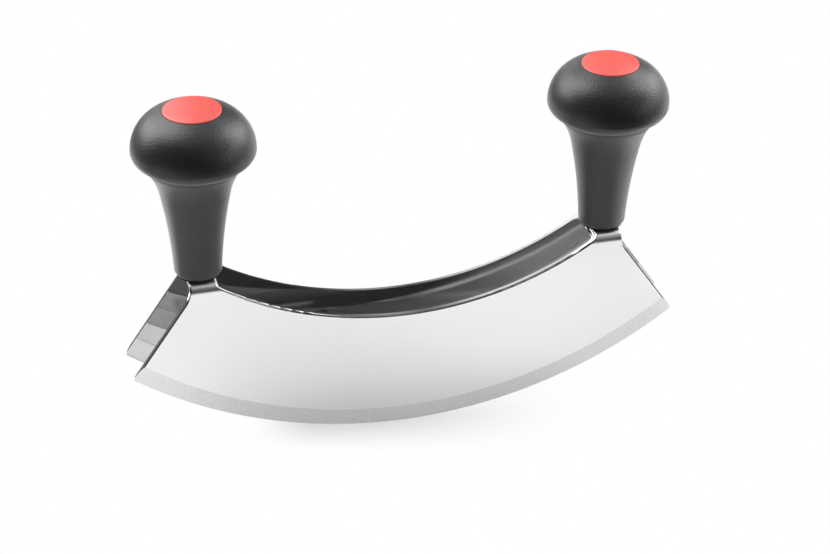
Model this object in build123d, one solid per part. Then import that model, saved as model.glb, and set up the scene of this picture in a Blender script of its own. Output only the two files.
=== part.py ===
from build123d import *
import math
import os

# Two-blade mezzaluna: one stainless sheet folded into a U carries two moulded palm grips.
# Millimetres. +X runs along the blades, +Y from the front blade to the rear one, +Z up.
# The origin is the lowest point of the cutting edges, at mid length and midway between the blades.

# Folded blade sheet
tip_to_tip = 230.0
blade_height = 53.6
cutting_radius = 192.0
back_radius = 141.5
sheet = 2.0
fold_width = 23.0
bend_inner_radius = 1.5
bridge_width = 11.0
bridge_rise = 1.1
bridge_root_radius = 1.7
shoulder_drop = 4.9
shoulder_radius = 11.0
tip_radius = 1.5
bevel_width = 8.3
edge_land = 0.3
back_rounding = 0.8

# Moulded grip
grip_spacing = 170.0
foot_radius = 9.6
foot_rounding = 1.5
stem_height = 37.0
stem_radius = 14.25
stem_curve_radius = 230.0
head_radius = 24.7
head_height = 55.25
head_turn_radius = 4.15
head_shoulder_radius = 16.8
head_crown_radius = 33.3
head_underside_angle = 36.8
head_underside_width = 2.25
crease_radius = 3.0
floor_thickness = 12.0
well_floor_radius = 6.4
well_mouth_radius = 9.6
well_floor_rounding = 1.0

# Cap pressed into the crown of the grip
cap_radius = 11.6
cap_seat_depth = 1.6
cap_proud = 0.4
cap_dome_radius = 40.0
cap_rim_rounding = 0.45
cap_skirt_length = 6.0
cap_skirt_wall = 1.4
skirt_end_gap = 0.5
skirt_lead_in = 0.3

# Fasteners that clamp a grip to its bridge
bolt_radius = 2.5
bolt_length = 25.0
bolt_point_chamfer = 0.6
bolt_head_radius = 4.75
bolt_head_height = 2.75
bolt_head_rim = 0.8
bolt_socket_flats = 3.0
bolt_socket_depth = 1.5
nut_flats = 8.0
nut_height = 4.0
nut_corner_chamfer = 0.5
washer_radius = 5.0
washer_thickness = 1.0
washer_chamfer = 0.15
spacer_radius = 8.6
spacer_thickness = 1.0
spacer_chamfer = 0.2

# Clearances, and the length by which cutting tools run past what they cut
bolt_hole_clearance = 0.25
thread_clearance = 0.05
cap_clearance = 0.15
skirt_clearance = 0.1
overrun = 5.0


def arc_rise(radius, x):
    """Height of a circle above its lowest point, at a distance x from its middle."""
    return radius - math.sqrt(radius**2 - x**2)


# Places that follow from the sizes above
tip_x = tip_to_tip / 2
grip_x = grip_spacing / 2
bridge_inner_x = grip_x - bridge_width / 2
bridge_outer_x = grip_x + bridge_width / 2
outer_y = fold_width / 2
inner_y = outer_y - sheet
hole_radius = bolt_radius + bolt_hole_clearance
tip_z = arc_rise(cutting_radius, tip_x)
root_z = blade_height + arc_rise(back_radius, bridge_inner_x)
bridge_z = root_z + bridge_rise
foot_z = bridge_z + spacer_thickness
floor_z = foot_z + floor_thickness
head_z = foot_z + head_height
crown_reach = head_crown_radius - head_shoulder_radius
shoulder_offset = head_radius - head_shoulder_radius
crown_centre_z = head_z - math.sqrt(crown_reach**2 - shoulder_offset**2)
cap_seat_radius = cap_radius + cap_clearance
crown_edge_z = crown_centre_z + math.sqrt(head_crown_radius**2 - cap_seat_radius**2)
cap_seat_z = crown_edge_z - cap_seat_depth


def crescent_face():
    """Front view of the sheet: a crescent with a bridge standing at each end of its back."""
    outline = Curve()
    outline += ThreePointArc((-tip_x, tip_z), (0, 0), (tip_x, tip_z))
    outline += ThreePointArc((-bridge_inner_x, root_z), (0, blade_height), (bridge_inner_x, root_z))
    for side in (-1, 1):
        outline += Polyline(
            (side * tip_x, tip_z),
            (side * bridge_outer_x, bridge_z - shoulder_drop),
            (side * bridge_outer_x, bridge_z),
            (side * bridge_inner_x, bridge_z),
            (side * bridge_inner_x, root_z),
        )
    face = make_face(outline)
    for x, z, radius in (
        (tip_x, tip_z, tip_radius),
        (bridge_outer_x, bridge_z - shoulder_drop, shoulder_radius),
        (bridge_inner_x, root_z, bridge_root_radius),
    ):
        for side in (-1, 1):
            corner = face.vertices().sort_by_distance((side * x, z))[0]
            face = fillet(corner, radius)
    return Plane.XZ * face


def channel_section(half_width, top_z, corner_radius):
    """End view of one wall of the fold: a tall rectangle with its two top corners rounded."""
    section = Pos(0, top_z) * Rectangle(2 * half_width, top_z + overrun, align=(Align.CENTER, Align.MAX))
    section = fillet(section.vertices().group_by(Axis.Y)[-1], corner_radius)
    return Plane.YZ * section


def folded_channel():
    """The sheet bent into a U: its legs are the blades and its crown is the bridges."""
    outside = channel_section(outer_y, bridge_z, bend_inner_radius + sheet)
    inside = channel_section(inner_y, bridge_z - sheet, bend_inner_radius)
    return extrude(outside - inside, amount=tip_x + overrun, both=True)


def bevel_ring(side):
    """Ring swept by the grinding wheel, which cuts a cone on the outside of a blade."""
    slope = (sheet - edge_land) / bevel_width
    bevel_start = cutting_radius - bevel_width
    reach = cutting_radius + overrun
    profile = make_face(
        Polyline(
            (bevel_start, side * outer_y),
            (reach, side * (outer_y - (reach - bevel_start) * slope)),
            (reach, side * (outer_y + overrun)),
            (bevel_start, side * (outer_y + overrun)),
            close=True,
        )
    )
    return Pos(0, 0, cutting_radius) * revolve(profile, Axis.Y)


def skin_rim(body):
    """Edges all round each opening where the outer skin meets the sheet's cut walls."""
    faces = body.faces()
    bend_radius = bend_inner_radius + sheet

    def is_bend(face):
        if face.geom_type != GeomType.CYLINDER or not math.isclose(face.radius, bend_radius):
            return False
        return face.axis_of_rotation.is_parallel(Axis.X)

    sides = faces.filter_by(Axis.Y).group_by(Axis.Y)
    crown = faces.filter_by(Axis.Z).group_by(Axis.Z)[-1]
    skin = sides[0] + sides[-1] + crown + faces.filter_by(is_bend)

    def is_fold_line(edge):
        return edge.geom_type == GeomType.LINE and Axis(edge).is_parallel(Axis.X)

    return skin.edges().filter_by(lambda edge: not is_fold_line(edge))


def blade_body():
    """Both blades and both bridges in one folded piece, rounded, ground and drilled."""
    body = folded_channel() & extrude(crescent_face(), amount=outer_y + overrun, both=True)
    body = fillet(skin_rim(body), back_rounding)
    for side in (-1, 1):
        body -= bevel_ring(side)
        body -= Pos(side * grip_x, 0, bridge_z) * Cylinder(hole_radius, 2 * (sheet + overrun))
    return body


def turned(outline):
    """Solid of revolution about the grip's axis, from an outline of radius and height."""
    return revolve(Plane.XZ * make_face(outline), Axis.Z)


def rim_edges(solid, radius, height):
    """Round edges of a turned piece, of the given radius at the given height."""

    def matches(edge):
        return math.isclose(edge.radius, radius) and math.isclose(edge.center().Z, height)

    return solid.edges().filter_by(GeomType.CIRCLE).filter_by(matches)


def grip():
    """Mushroom-shaped palm grip: a stem that flares into the head, a well and a seat for the cap."""
    angle = math.radians(head_underside_angle)
    turn_start_r = head_radius - head_turn_radius * (1 - math.sin(angle))
    turn_start_z = head_z - head_turn_radius * math.cos(angle)
    crease_r = turn_start_r - head_underside_width
    crease_z = turn_start_z - head_underside_width * math.tan(angle)
    join_share = head_crown_radius / crown_reach
    join_r = shoulder_offset * join_share
    join_z = crown_centre_z + (head_z - crown_centre_z) * join_share
    stem = RadiusArc((foot_radius, foot_z), (stem_radius, foot_z + stem_height), stem_curve_radius)
    outline = Curve() + [
        Line((0, foot_z), (foot_radius, foot_z)),
        stem,
        TangentArc(stem @ 1, (crease_r, crease_z), tangent=stem % 1),
        Line((crease_r, crease_z), (turn_start_r, turn_start_z)),
        RadiusArc((turn_start_r, turn_start_z), (head_radius, head_z), -head_turn_radius),
        RadiusArc((head_radius, head_z), (join_r, join_z), -head_shoulder_radius),
        RadiusArc((join_r, join_z), (0, crown_centre_z + head_crown_radius), -head_crown_radius),
        Line((0, crown_centre_z + head_crown_radius), (0, foot_z)),
    ]
    body = turned(outline)
    body = fillet(rim_edges(body, crease_r, crease_z), crease_radius)
    body = fillet(rim_edges(body, foot_radius, foot_z), foot_rounding)
    mouth_z = cap_seat_z - cap_skirt_length - skirt_end_gap
    well = turned(
        Polyline(
            (0, foot_z - overrun),
            (hole_radius, foot_z - overrun),
            (hole_radius, floor_z),
            (well_floor_radius, floor_z),
            (well_mouth_radius, mouth_z),
            (well_mouth_radius, cap_seat_z),
            (cap_seat_radius, cap_seat_z),
            (cap_seat_radius, crown_edge_z + overrun),
            (0, crown_edge_z + overrun),
            close=True,
        )
    )
    body -= well
    return fillet(rim_edges(body, well_floor_radius, floor_z), well_floor_rounding)


def cap():
    """Domed disc on a short skirt that presses into the mouth of the well."""
    rim_z = crown_edge_z + cap_proud
    skirt_radius = well_mouth_radius - skirt_clearance
    bore_radius = skirt_radius - cap_skirt_wall
    under_z = cap_seat_z - cap_skirt_length
    dome_z = rim_z + arc_rise(cap_dome_radius, cap_radius)
    outline = Curve() + [
        Polyline(
            (0, dome_z),
            (0, cap_seat_z),
            (bore_radius, cap_seat_z),
            (bore_radius, under_z),
            (skirt_radius, under_z),
            (skirt_radius, cap_seat_z),
            (cap_radius, cap_seat_z),
            (cap_radius, rim_z),
        ),
        RadiusArc((cap_radius, rim_z), (0, dome_z), -cap_dome_radius),
    ]
    body = turned(outline)
    body = fillet(rim_edges(body, cap_radius, rim_z), cap_rim_rounding)
    return chamfer(rim_edges(body, skirt_radius, under_z), skirt_lead_in)


def ring(outer_radius, bore_radius, low_z, thickness, edge_chamfer):
    """Flat ring with its outer edges broken, standing on a given height."""
    blank = Cylinder(outer_radius, thickness, align=(Align.CENTER, Align.CENTER, Align.MIN))
    blank = chamfer(blank.edges().filter_by(GeomType.CIRCLE), edge_chamfer)
    bore = Cylinder(bore_radius, thickness, align=(Align.CENTER, Align.CENTER, Align.MIN))
    return Pos(0, 0, low_z) * (blank - bore)


def bolt():
    """Button-head bolt, put in from under the bridge, with a hexagonal socket in its head."""
    seat_z = bridge_z - sheet - washer_thickness
    point_z = seat_z + bolt_length
    crown_z = seat_z - bolt_head_rim
    low_z = seat_z - bolt_head_height
    crown_depth = bolt_head_height - bolt_head_rim
    crown_radius = (bolt_head_radius**2 + crown_depth**2) / (2 * crown_depth)
    outline = Curve() + [
        Polyline(
            (0, low_z),
            (0, point_z),
            (bolt_radius - bolt_point_chamfer, point_z),
            (bolt_radius, point_z - bolt_point_chamfer),
            (bolt_radius, seat_z),
            (bolt_head_radius, seat_z),
            (bolt_head_radius, crown_z),
        ),
        RadiusArc((bolt_head_radius, crown_z), (0, low_z), crown_radius),
    ]
    socket = extrude(RegularPolygon(bolt_socket_flats / 2, 6, major_radius=False), amount=bolt_socket_depth)
    return turned(outline) - Pos(0, 0, low_z) * socket


def nut():
    """Hexagonal nut on the washer in the well, with its corners broken."""
    corner_radius = nut_flats / math.sqrt(3)
    prism = extrude(RegularPolygon(corner_radius, 6), amount=nut_height)
    blank = ring(corner_radius, bolt_radius + thread_clearance, 0, nut_height, nut_corner_chamfer)
    return Pos(0, 0, floor_z + washer_thickness) * (prism & blank)


def washer(low_z):
    return ring(washer_radius, hole_radius, low_z, washer_thickness, washer_chamfer)


def spacer():
    """Dark ring between the grip's foot and the bridge."""
    return ring(spacer_radius, hole_radius, bridge_z, spacer_thickness, spacer_chamfer)


handle_pieces = {
    "grip": grip(),
    "cap": cap(),
    "spacer": spacer(),
    "bolt": bolt(),
    "bridge_washer": washer(bridge_z - sheet - washer_thickness),
    "well_washer": washer(floor_z),
    "nut": nut(),
}
os.makedirs("parts", exist_ok=True)
export_step(blade_body(), "parts/blade_body.step")
for side, name in ((-1, "left"), (1, "right")):
    for piece, solid in handle_pieces.items():
        export_step(Pos(side * grip_x, 0, 0) * solid, f"parts/{name}_{piece}.step")
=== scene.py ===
import bmesh
import bpy
import math
from mathutils import Matrix, Vector


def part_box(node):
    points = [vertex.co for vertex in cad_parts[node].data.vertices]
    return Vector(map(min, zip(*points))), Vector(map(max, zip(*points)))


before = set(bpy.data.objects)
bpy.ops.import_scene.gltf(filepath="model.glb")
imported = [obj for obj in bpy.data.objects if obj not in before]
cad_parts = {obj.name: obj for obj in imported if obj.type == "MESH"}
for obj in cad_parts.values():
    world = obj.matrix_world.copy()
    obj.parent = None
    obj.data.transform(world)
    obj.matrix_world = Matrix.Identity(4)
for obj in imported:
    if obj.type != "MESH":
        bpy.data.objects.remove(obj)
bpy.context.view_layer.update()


# The photographer's viewpoint: a long lens, a little to the left of the tool and well above it.
# Distances are in metres, and the axes are the tool's own: +X along the blades, +Y to the rear, +Z up.
image_width = 830
focal_pixels = 2478.9
sensor_width = 36.0
nearest_seen = 0.05
farthest_seen = 20
camera_azimuth = math.radians(-15.374)
camera_elevation = math.radians(31.538)
camera_roll = math.radians(0.784)
camera_distance = 1.02144
camera_target = Vector((0.00506, 0, 0.0635))

backward = Vector((
    math.sin(camera_azimuth) * math.cos(camera_elevation),
    -math.cos(camera_azimuth) * math.cos(camera_elevation),
    math.sin(camera_elevation),
))
level_right = Vector((math.cos(camera_azimuth), math.sin(camera_azimuth), 0))
level_up = backward.cross(level_right)
right = math.cos(camera_roll) * level_right + math.sin(camera_roll) * level_up
up = backward.cross(right)
lens = bpy.data.cameras.new("camera")
lens.sensor_width = sensor_width
lens.lens = sensor_width * focal_pixels / image_width
lens.clip_start = nearest_seen
lens.clip_end = farthest_seen
camera = bpy.data.objects.new("camera", lens)
bpy.context.scene.collection.objects.link(camera)
turn = Matrix((right, up, backward)).transposed().to_4x4()
camera.matrix_world = Matrix.Translation(camera_target + backward * camera_distance) @ turn
bpy.context.scene.camera = camera
bpy.context.scene.view_settings.view_transform = "Standard"


# The studio floor: a white paper sweep, which the tool stands on. It is seen plain white, with a shadow
# where the blades touch it. In the steel it is mirrored darker and brighter in places: painted shade and
# painted light in zones of the floor that only a mirrored ray meets.
white = (1, 1, 1, 1)


class Wire:
    """An output of a shader node. Sums and products of wires add Math nodes."""

    def __init__(self, tree, socket=None):
        self.tree = tree
        self.socket = socket

    def node(self, kind, settings=None, inputs=None, output=0):
        """Adds a node, with its settings first and then the values or wires of its sockets."""
        made = self.tree.nodes.new(kind)
        for name, value in (settings or {}).items():
            setattr(made, name, value)
        for name, value in (inputs or {}).items():
            if isinstance(value, Wire):
                self.tree.links.new(value.socket, made.inputs[name])
            else:
                made.inputs[name].default_value = value
        return Wire(self.tree, made.outputs[output]) if made.outputs else None

    def maths(self, operation, *others):
        """This wire, and any others or plain numbers, put through one Math node."""
        return self.node("ShaderNodeMath", {"operation": operation}, dict(enumerate((self, *others))))

    def vectors(self, operation, *others):
        """This vector, and any others, put through one Vector Math node."""
        return self.node("ShaderNodeVectorMath", {"operation": operation}, dict(enumerate((self, *others))))

    def __add__(self, other):
        return self.maths("ADD", other)

    def __sub__(self, other):
        return self.maths("SUBTRACT", other)

    def __rsub__(self, other):
        return self.maths("MULTIPLY_ADD", -1, other)

    def __mul__(self, other):
        return self.maths("MULTIPLY", other)

    __radd__ = __add__
    __rmul__ = __mul__

    def axes(self):
        """The three numbers of a vector."""
        return [self.node("ShaderNodeSeparateXYZ", None, {"Vector": self}, axis) for axis in "XYZ"]

    def step(self, low, high):
        """Rises smoothly from 0 to 1 between two values."""
        inputs = {"Value": self, "From Min": low, "From Max": high}
        return self.node("ShaderNodeMapRange", {"interpolation_type": "SMOOTHSTEP"}, inputs)

    def between(self, low, high, blur):
        """1 between two values and 0 beyond them, with its edges blurred inwards."""
        return self.step(low, low + blur) * (1 - self.step(high - blur, high))

    def blend(self, off, on):
        """One number where this wire is 0 and another where it is 1."""
        return off + self * (on - off)

    def colours(self, off, on):
        """One colour where this wire is 0 and another where it is 1."""
        return self.node("ShaderNodeMix", {"data_type": "RGBA"}, {0: self, 6: off, 7: on}, 2)

    def shaders(self, off, on):
        """One shader where this wire is 0 and another where it is 1."""
        return self.node("ShaderNodeMixShader", None, {0: self, 1: off, 2: on})

    def noise(self, scale, detail):
        """Noise over the places that this wire gives."""
        return self.node("ShaderNodeTexNoise", None, {"Vector": self, "Scale": scale, "Detail": detail})


def new_material(name):
    """A material with no nodes yet, and the wire that its nodes start from."""
    material = bpy.data.materials.new(name)
    material.use_nodes = True
    material.node_tree.nodes.clear()
    return material, Wire(material.node_tree)


floor_half = 3.0
paper_grey = (0.93, 0.93, 0.93, 1)
paper_grain_scale = 90
paper_grain_detail = 2
plain_white_level = 1.0

# The shadow that the camera sees. It lies a little askew, and each pair is where one of its sides fades.
shadow_depth = 0.56
shadow_turn = math.radians(15.37)
shadow_front = (-0.036, -0.005)
shadow_rear = (0.012, 0.04)
shadow_left = (-0.068, -0.035)
shadow_right = (-0.045, 0.085)

# The zones of the floor that are mirrored, some of them only by rays that were mirrored before. A pair
# is where one side fades, and three numbers are two sides and their blur. A patch is its left, right,
# front and rear side and their blur, and a small patch of painted shade also has its depth.
one_mirroring = 1.5
# Painted light: mirrored rays see the floor in front of the blades raised towards plain white.
front_lift = 0.38
front_lift_end = (-0.012, 0.0)

dark_level = 0.04
# Painted dark reflection: mirrored rays see the floor far in front of the tool nearly black.
painted_dark_front_slant = 0.35
painted_dark_front_start = (0.17, 0.29)
# Painted shade: rays mirrored once see the floor just behind the blades darker.
near_shade_depth = 0.6
near_shade_start = (0.0, 0.012)
near_shade_end = (0.02, 0.14)

# Painted dark reflection: mirrored rays see the floor far behind and to the left darker.
painted_far_dark_level = 0.12
painted_far_dark_start = (0.42, 0.6)

# Painted light: a band behind the tool and a few patches that mirrored rays see brighter than white.
bright_level = 1.7
bright_band_left = (-0.25, -0.15)
bright_band_front = (0.08, 0.13)
bright_band_rear = (0.26, 0.32)
painted_bright_patches = (
    (0.14, 0.40, -0.13, 0.07, 0.02),
    (-0.30, -0.11, 0.04, 0.26, 0.02),
    (-0.05, -0.015, 0.05, 0.13, 0.015),
)

# Painted shade: rays mirrored more than once see the floor between and behind the blades darker.
painted_shade_depth = 0.79
painted_shade_loss = 0.38
painted_shade_loss_start = (0.05, 0.1)
painted_shade_left = (0.011, 0.025)
painted_shade_sides = (0.004, 0.07, 0.007)
# A thin curved line is left out of the painted shade, and past it the painted shade starts again.
shadow_edge_bow = 3.1
shadow_edge_middle = 0.009
shadow_edge_sides = (-0.0025, 0.0015, 0.0014)
shadow_edge_left = (0.02, 0.05)
behind_shade_depth = 0.72
behind_shade_left = (0.015, 0.03)
behind_shade_front = (0.0008, 0.002)
behind_shade_rear = (0.06, 0.075)
small_painted_shades = (
    (-0.058, -0.010, -0.0135, -0.001, 0.002, 0.62),
    (-0.038, -0.011, 0.004, 0.018, 0.003, 0.78),
    (-0.081, -0.068, 0.020, 0.037, 0.003, 0.45),
)

# Painted highlight: a thin white line on the floor that only mirrored rays meet.
painted_gleam_depth = 0.5
painted_gleam_ends = (-0.038, -0.015, 0.006)
painted_gleam_sides = (-0.0005, 0.0045, 0.002)

floor_material, start = new_material("sweep_paper")
position = start.node("ShaderNodeTexCoord", output="Object")
x, y, _ = position.axes()
camera_ray = start.node("ShaderNodeLightPath", output="Is Camera Ray")
glossy_ray = start.node("ShaderNodeLightPath", output="Is Glossy Ray")
transmission_ray = start.node("ShaderNodeLightPath", output="Is Transmission Ray")
mirrorings = start.node("ShaderNodeLightPath", output="Glossy Depth")
mirrored_again = glossy_ray * mirrorings.maths("GREATER_THAN", one_mirroring)


def light(level):
    """A white light of its own, which no shadow falls on."""
    return start.node("ShaderNodeEmission", None, {"Color": white, "Strength": level})


def patch(left, right, front, rear, blur):
    """1 on a rectangle of the floor and 0 beyond it."""
    return x.between(left, right, blur) * y.between(front, rear, blur)


grain = position.noise(paper_grain_scale, paper_grain_detail)
paper = start.node("ShaderNodeBsdfDiffuse", None, {"Color": grain.colours(paper_grey, white)})
plain_white = light(plain_white_level)
dark = light(dark_level)

along_shadow = x * math.cos(shadow_turn) - y * math.sin(shadow_turn)
across_shadow = x * math.sin(shadow_turn) + y * math.cos(shadow_turn)
shadow = across_shadow.step(*shadow_front) * (1 - across_shadow.step(*shadow_rear))
shadow = shadow * along_shadow.step(*shadow_left) * (1 - along_shadow.step(*shadow_right))
lift = camera_ray * (1 - shadow * shadow_depth)
# Painted light for mirrored rays: the floor in front of the blades is raised towards plain white.
lift = lift + (glossy_ray + transmission_ray) * (1 - y.step(*front_lift_end)) * front_lift
surface = lift.shaders(paper, plain_white)

# Painted dark reflection: mirrored rays see the floor far in front of the tool nearly black.
painted_dark_front = (x * painted_dark_front_slant - y).step(*painted_dark_front_start)
surface = (glossy_ray * painted_dark_front).shaders(surface, dark)
# Painted shade: rays mirrored once see the floor just behind the blades darker.
near_shade = y.step(*near_shade_start) * (1 - y.step(*near_shade_end)) * near_shade_depth
surface = ((glossy_ray - mirrored_again) * near_shade).shaders(surface, dark)

# Painted light: a band behind the tool and a few patches that mirrored rays see brighter than white.
bright = y.step(*bright_band_front) * (1 - y.step(*bright_band_rear)) * x.step(*bright_band_left)
bright = bright * mirrored_again
for patch_sides in painted_bright_patches:
    bright = bright.maths("MAXIMUM", patch(*patch_sides))
surface = (glossy_ray * bright).shaders(surface, light(bright_level))

# Painted shade between and behind the blades, fainter to the right, for rays mirrored more than once.
black = (painted_shade_depth - x.step(*painted_shade_loss_start) * painted_shade_loss) * x.step(*painted_shade_left)
black = black * y.between(*painted_shade_sides)
# A thin curved line is left out of the painted shade, and past it the painted shade starts again.
past_shadow_edge = y - x * x * shadow_edge_bow - shadow_edge_middle
black = black * (1 - past_shadow_edge.between(*shadow_edge_sides) * x.step(*shadow_edge_left))
behind_shade = past_shadow_edge.step(*behind_shade_front) * (1 - y.step(*behind_shade_rear)) * x.step(*behind_shade_left)
black = black.maths("MAXIMUM", behind_shade * behind_shade_depth)
for *patch_sides, depth in small_painted_shades:
    black = black.maths("MAXIMUM", patch(*patch_sides) * depth)
surface = (mirrored_again * black).shaders(surface, dark)

# Painted highlight: a thin white line on the floor that only mirrored rays meet.
painted_gleam = x.between(*painted_gleam_ends) * y.between(*painted_gleam_sides) * painted_gleam_depth
surface = (glossy_ray * painted_gleam).shaders(surface, plain_white)
# Painted dark reflection: mirrored rays see the floor far behind and to the left darker.
painted_far_dark = (y - x).step(*painted_far_dark_start)
surface = (glossy_ray * painted_far_dark).shaders(surface, light(painted_far_dark_level))
start.node("ShaderNodeOutputMaterial", None, {"Surface": surface})

mesh = bmesh.new()
bmesh.ops.create_grid(mesh, x_segments=1, y_segments=1, size=floor_half)
floor_mesh = bpy.data.meshes.new("floor")
mesh.to_mesh(floor_mesh)
mesh.free()
floor = bpy.data.objects.new("floor", floor_mesh)
floor.data.materials.append(floor_material)
bpy.context.scene.collection.objects.link(floor)


# The room round the tool: two softboxes behind it, one at each side, and the walls that the steel and
# the plastic mirror. Each zone of the walls is set by the direction that a mirrored ray leaves in: east
# is +X, north is +Y, and height is +Z. Rough surfaces get an even fill, and the camera sees white.
fill_level = 0.2
room_level = 0.05

haze_level = 0.18
haze_base = 0.15
haze_gain = 1.3
haze_rise = (0.2, 0.5)
haze_left = (0.15, 0.27)
clear_left = (0.3, 0.42)
clear_front = (-0.3, 0.0)

wall_level = 1.4
wall_left = (0.6, 0.8)
wall_front = (-0.85, -0.6)
wall_top = (0.3, 0.5)

ceiling_level = 0.5
ceiling_rise = (0.75, 0.95)

backdrop_level = 0.9
backdrop_right = (0.0, 0.2)
backdrop_front = (0.3, 0.6)
backdrop_rise = (0.0, 0.52, 0.1)

glow_level = 0.65
glow_right = (-0.05, 0.22)
glow_front = (0.0, 0.4)
glow_rise = (0.05, 0.3)

softboxes = (
    ("softbox_left", (-0.60, 0.52, 0.86), 0.8, 1.15, 11.6),
    ("softbox_right", (0.90, 0.24, 0.76), 0.82, 0.9, 9.8),
)
softbox_target = Vector((0, 0, 0.08))

world = bpy.data.worlds.new("studio")
world.use_nodes = True
world.node_tree.nodes.clear()
bpy.context.scene.world = world
start = Wire(world.node_tree)
east, north, height = start.node("ShaderNodeTexCoord", output="Generated").axes()
clear = north.step(*clear_front) * east.step(*clear_left)
haze = height.step(*haze_rise) * (haze_base + east.step(*haze_left) * (1 - clear) * haze_gain)
wall = east.step(*wall_left) * (1 - height.step(*wall_top)) * north.step(*wall_front)
backdrop = (1 - east.step(*backdrop_right)) * north.step(*backdrop_front) * height.between(*backdrop_rise)
glow = (1 - east.step(*glow_right)) * height.step(*glow_rise) * north.step(*glow_front)
room = room_level + haze * haze_level + glow * glow_level
room = room + height.step(*ceiling_rise) * ceiling_level + backdrop * backdrop_level
room = wall.blend(room, wall_level)
camera_ray = start.node("ShaderNodeLightPath", output="Is Camera Ray")
glossy_ray = start.node("ShaderNodeLightPath", output="Is Glossy Ray")
level = camera_ray.blend(glossy_ray.blend(fill_level, room), plain_white_level)
background = start.node("ShaderNodeBackground", None, {"Color": white, "Strength": level})
start.node("ShaderNodeOutputWorld", None, {"Surface": background})

for name, place, width, length, watts in softboxes:
    lamp = bpy.data.lights.new(name, "AREA")
    lamp.shape = "RECTANGLE"
    lamp.size = width
    lamp.size_y = length
    lamp.energy = watts
    softbox = bpy.data.objects.new(name, lamp)
    softbox.visible_camera = False
    bpy.context.scene.collection.objects.link(softbox)
    towards = softbox_target - Vector(place)
    softbox.matrix_world = Matrix.Translation(place) @ towards.to_track_quat("-Z", "Y").to_matrix().to_4x4()


# The folded blade sheet: one piece of stainless steel, 2 mm thick, with both blades and both bridges.
# Its outer faces are satin and its inner faces bright, its edges are rolled round and polished, and its
# bevels are ground across. The inner faces take a darker copy of the steel, painted shade, and the rolled
# edges a much darker one, a painted dark reflection. The normals inside lean up by a hair, as the real
# blades close in downwards.
sheet_thickness = 0.002
bend_radius = 0.0035
cutting_radius = 0.192
bevel_width = 0.0083
honed_width = 0.001
zone_blur = 0.00006
inner_lean = 0.0032

satin_steel = (0.92, 0.92, 0.925, 1)
# A darker copy of the steel for the inner faces: painted shade.
shaded_inside_steel = (0.69, 0.69, 0.695, 1)
ground_steel = (0.83, 0.83, 0.835, 1)
# A much darker copy of the steel for the rolled edges: a painted dark reflection.
rolled_steel_painted_dark = (0.34, 0.34, 0.343, 1)
inside_metallic = 0.96
outside_metallic = 1
satin_roughness = 0.16
satin_spread = 0.05
inside_roughness = 0.02
bend_roughness = 0.3
ground_roughness = 0.24
ground_spread = 0.08
honed_roughness = 0.4
polished_roughness = 0.1

streak_scales = (700, 700, 14)
score_scale_along = 2600
score_scale_across = 60
mark_scale = 1.0
mark_detail = 3
mark_strength = 0.1
mark_height = 0.00002
score_share = 2

# Shares of a normal. Towards Y they tell a blade's face from its rolled edge, and that from the flat
# strip along the edge, and towards X they tell a bridge's edges from its bends.
flat_face = (0.93, 0.975)
flat_edge = (0.02, 0.08)
bend_end = (0.1, 0.2)

_, blade_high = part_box("blade_body")
inner_y = blade_high.y - sheet_thickness
bend_low = blade_high.z - bend_radius
bevel_start = cutting_radius - bevel_width
honed_start = cutting_radius - honed_width

steel_material, start = new_material("blade_steel")
position = start.node("ShaderNodeTexCoord", output="Object")
x, y, z = position.axes()
below_centre = cutting_radius - z
reach = (x * x + below_centre * below_centre).maths("SQRT")
along_edge = x.maths("ARCTAN2", below_centre) * cutting_radius
bend = z.step(bend_low - zone_blur, bend_low + zone_blur)
outer_side = y.maths("ABSOLUTE").step(inner_y + zone_blur, inner_y + 2 * zone_blur)
outside = bend.maths("MAXIMUM", outer_side)
ground = reach.step(bevel_start - zone_blur, bevel_start + zone_blur) * outer_side
honed = reach.step(honed_start - zone_blur, honed_start + zone_blur) * (1 - outer_side)

normal = start.node("ShaderNodeNewGeometry", output="Normal")
normal_x, normal_y, _ = normal.axes()
flatness = normal_y.maths("ABSOLUTE")
edge = bend.blend(1 - flatness.step(*flat_face), normal_x.maths("ABSOLUTE").step(*bend_end))
rolled = edge * flatness.step(*flat_edge)
lean = start.node("ShaderNodeCombineXYZ", None, {"Z": (1 - outside) * inner_lean})
leaning = normal.vectors("ADD", lean).vectors("NORMALIZE")

streak_places = start.node("ShaderNodeMapping", None, {"Vector": position, "Scale": streak_scales})
streaks = streak_places.noise(mark_scale, mark_detail)
score_places = {"X": along_edge * score_scale_along, "Y": reach * score_scale_across}
scores = start.node("ShaderNodeCombineXYZ", None, score_places).noise(mark_scale, mark_detail)

# The inner faces take the darker copy of the steel: painted shade.
colour = outside.colours(shaded_inside_steel, satin_steel)
colour = ground.colours(colour, ground_steel)
# The rolled edges take the much darker copy of the steel: a painted dark reflection.
colour = rolled.colours(colour, rolled_steel_painted_dark)
roughness = outside.blend(inside_roughness, satin_roughness + streaks * satin_spread)
roughness = honed.blend(roughness, honed_roughness)
roughness = bend.blend(roughness, bend_roughness)
roughness = ground.blend(roughness, ground_roughness + scores * ground_spread)
roughness = edge.blend(roughness, polished_roughness)
bump = start.node("ShaderNodeBump", None, {
    "Strength": mark_strength,
    "Distance": mark_height,
    "Height": ground.blend(streaks, scores * score_share),
    "Normal": leaning,
})
shader = start.node("ShaderNodeBsdfPrincipled", None, {
    "Base Color": colour,
    "Metallic": outside.blend(inside_metallic, outside_metallic),
    "Roughness": roughness,
    "Normal": bump,
})
start.node("ShaderNodeOutputMaterial", None, {"Surface": shader})


def dress(node_name, material):
    """Puts a material on a CAD node."""
    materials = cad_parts[node_name].data.materials
    materials.clear()
    materials.append(material)


dress("blade_body", steel_material)


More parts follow.
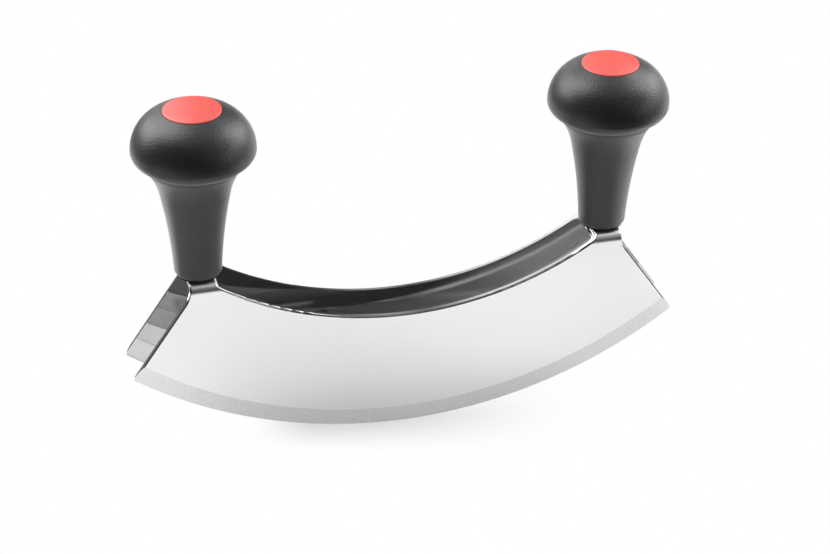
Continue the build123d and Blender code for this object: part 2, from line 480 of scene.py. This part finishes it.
# The palm grips: black polypropylene, injection moulded in one piece each, with a spark-eroded texture
# that is duller in the crease under the head. Each stands on a rubber ring and is clamped to its bridge
# by one bolt.
sides = ("left", "right")
grip_black = (0.015, 0.015, 0.016, 1)
grip_worn = (0.021, 0.021, 0.022, 1)
grip_texture_scale = 1500
grip_texture_detail = 3
grip_texture_strength = 0.7
grip_texture_height = 0.0002
grip_cloud_scale = 60
grip_cloud_detail = 2
grip_roughness = 0.3
grip_roughness_spread = 0.1
grip_specular = 0.6
grip_sheen = 0.5
grip_sheen_roughness = 0.35
crease_height = 0.0503
crease_reach = 0.0035
crease_dullness = 0.4

grip_low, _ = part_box("left_grip")
crease_z = grip_low.z + crease_height

grip_material, start = new_material("grip_black")
position = start.node("ShaderNodeTexCoord", output="Object")
_, _, z = position.axes()
texture = position.noise(grip_texture_scale, grip_texture_detail)
clouds = position.noise(grip_cloud_scale, grip_cloud_detail)
crease = 1 - (z - crease_z).maths("ABSOLUTE").step(0, crease_reach)
bump = start.node("ShaderNodeBump", None, {
    "Strength": grip_texture_strength,
    "Distance": grip_texture_height,
    "Height": texture,
})
shader = start.node("ShaderNodeBsdfPrincipled", None, {
    "Base Color": clouds.colours(grip_black, grip_worn),
    "Roughness": grip_roughness + texture * grip_roughness_spread + crease * crease_dullness,
    "Specular IOR Level": grip_specular,
    "Sheen Weight": grip_sheen,
    "Sheen Roughness": grip_sheen_roughness,
    "Normal": bump,
})
start.node("ShaderNodeOutputMaterial", None, {"Surface": shader})
for side in sides:
    dress(f"{side}_grip", grip_material)


# The caps: discs of red plastic with a soft sheen, injection moulded with a skirt.
# Each is pressed into the crown of its grip and closes the well in which the nut lies.
cap_red = (0.98, 0.14, 0.115, 1)
cap_deep_red = (0.96, 0.12, 0.095, 1)
cap_texture_scale = 1800
cap_texture_detail = 2
cap_texture_strength = 0.15
cap_texture_height = 0.0001
cap_cloud_scale = 80
cap_cloud_detail = 2
cap_roughness = 0.38
cap_roughness_spread = 0.06
cap_specular = 0.9
cap_sheen = 0.1
cap_sheen_roughness = 0.3

cap_material, start = new_material("cap_red")
position = start.node("ShaderNodeTexCoord", output="Object")
texture = position.noise(cap_texture_scale, cap_texture_detail)
clouds = position.noise(cap_cloud_scale, cap_cloud_detail)
bump = start.node("ShaderNodeBump", None, {
    "Strength": cap_texture_strength,
    "Distance": cap_texture_height,
    "Height": texture,
})
shader = start.node("ShaderNodeBsdfPrincipled", None, {
    "Base Color": clouds.colours(cap_deep_red, cap_red),
    "Roughness": cap_roughness + texture * cap_roughness_spread,
    "Specular IOR Level": cap_specular,
    "Sheen Weight": cap_sheen,
    "Sheen Roughness": cap_sheen_roughness,
    "Normal": bump,
})
start.node("ShaderNodeOutputMaterial", None, {"Surface": shader})
for side in sides:
    dress(f"{side}_cap", cap_material)


# The rings under the grips' feet: black rubber, die-cut from sheet.
# Each is squeezed between a grip and its bridge and keeps water out of the bolt hole.
rubber_black = (0.012, 0.012, 0.012, 1)
rubber_dusty = (0.03, 0.03, 0.03, 1)
dust_scale = 900
dust_detail = 4
dust_range = (0.5, 0.8)
dust_strength = 0.3
dust_height = 0.00005
rubber_roughness = 0.7
rubber_roughness_spread = 0.2

rubber_material, start = new_material("spacer_rubber")
position = start.node("ShaderNodeTexCoord", output="Object")
dust = position.noise(dust_scale, dust_detail)
bump = start.node("ShaderNodeBump", None, {
    "Strength": dust_strength,
    "Distance": dust_height,
    "Height": dust,
})
shader = start.node("ShaderNodeBsdfPrincipled", None, {
    "Base Color": dust.step(*dust_range).colours(rubber_black, rubber_dusty),
    "Roughness": rubber_roughness + dust * rubber_roughness_spread,
    "Normal": bump,
})
start.node("ShaderNodeOutputMaterial", None, {"Surface": shader})
for side in sides:
    dress(f"{side}_spacer", rubber_material)


# The bolts: stainless button-head bolts, put in from under the bridges. The head is plain turned
# steel, and the shank above it carries a rolled thread of 0.8 mm pitch.
grip_centre = 0.085
head_height = 0.00275
head_blur = 0.0001
thread_pitch = 0.0008
thread_depth = 0.0003
thread_share = 0.5
thread_strength = 0.6
ring_density = 26000
ring_share = 0.02
bolt_steel = (0.55, 0.55, 0.56, 1)
bolt_oiled = (0.42, 0.42, 0.43, 1)
grime_scale = 700
grime_detail = 3
grime_range = (0.4, 0.75)
bolt_metallic = 1.0
bolt_roughness = 0.24
bolt_roughness_spread = 0.16

bolt_low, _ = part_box("left_bolt")
shank_low = bolt_low.z + head_height

bolt_material, start = new_material("bolt_steel")
position = start.node("ShaderNodeTexCoord", output="Object")
x, y, z = position.axes()
off_axis = x.maths("ABSOLUTE") - grip_centre
turns = y.maths("ARCTAN2", off_axis) * (1 / math.tau)
thread = ((z * (1 / thread_pitch) + turns) * math.tau).maths("SINE")
distance = (off_axis * off_axis + y * y).maths("SQRT")
rings = (distance * ring_density).maths("SINE")
shank = z.step(shank_low, shank_low + head_blur)
grime = position.noise(grime_scale, grime_detail)
bump = start.node("ShaderNodeBump", None, {
    "Strength": thread_strength,
    "Distance": thread_depth,
    "Height": shank.blend(rings * ring_share, thread * thread_share),
})
shader = start.node("ShaderNodeBsdfPrincipled", None, {
    "Base Color": grime.step(*grime_range).colours(bolt_steel, bolt_oiled),
    "Metallic": bolt_metallic,
    "Roughness": bolt_roughness + grime * bolt_roughness_spread,
    "Normal": bump,
})
start.node("ShaderNodeOutputMaterial", None, {"Surface": shader})
for side in sides:
    dress(f"{side}_bolt", bolt_material)


# The washers and nuts: stainless, stamped and tumbled, so their faces show fine random scratches.
# One washer lies under each bridge, and one with the nut in the well of each grip.
tumbled_steel = (0.62, 0.62, 0.63, 1)
scratched_steel = (0.48, 0.48, 0.49, 1)
scratch_turn = (0, 0, 0.6)
scratch_scales = (4000, 300, 300)
scratch_scale = 1.0
scratch_detail = 4
scratch_range = (0.45, 0.7)
dent_scale = 1500
dent_detail = 2
tumbling_strength = 0.3
tumbling_height = 0.00003
tumbled_metallic = 1.0
tumbled_roughness = 0.26
tumbled_roughness_spread = 0.14

washer_material, start = new_material("fastener_steel")
position = start.node("ShaderNodeTexCoord", output="Object")
scratch_places = start.node("ShaderNodeMapping", None, {
    "Vector": position,
    "Rotation": scratch_turn,
    "Scale": scratch_scales,
})
scratches = scratch_places.noise(scratch_scale, scratch_detail)
dents = position.noise(dent_scale, dent_detail)
bump = start.node("ShaderNodeBump", None, {
    "Strength": tumbling_strength,
    "Distance": tumbling_height,
    "Height": scratches + dents,
})
shader = start.node("ShaderNodeBsdfPrincipled", None, {
    "Base Color": scratches.step(*scratch_range).colours(tumbled_steel, scratched_steel),
    "Metallic": tumbled_metallic,
    "Roughness": tumbled_roughness + dents * tumbled_roughness_spread,
    "Normal": bump,
})
start.node("ShaderNodeOutputMaterial", None, {"Surface": shader})
for side in sides:
    for piece in ("bridge_washer", "well_washer", "nut"):
        dress(f"{side}_{piece}", washer_material)
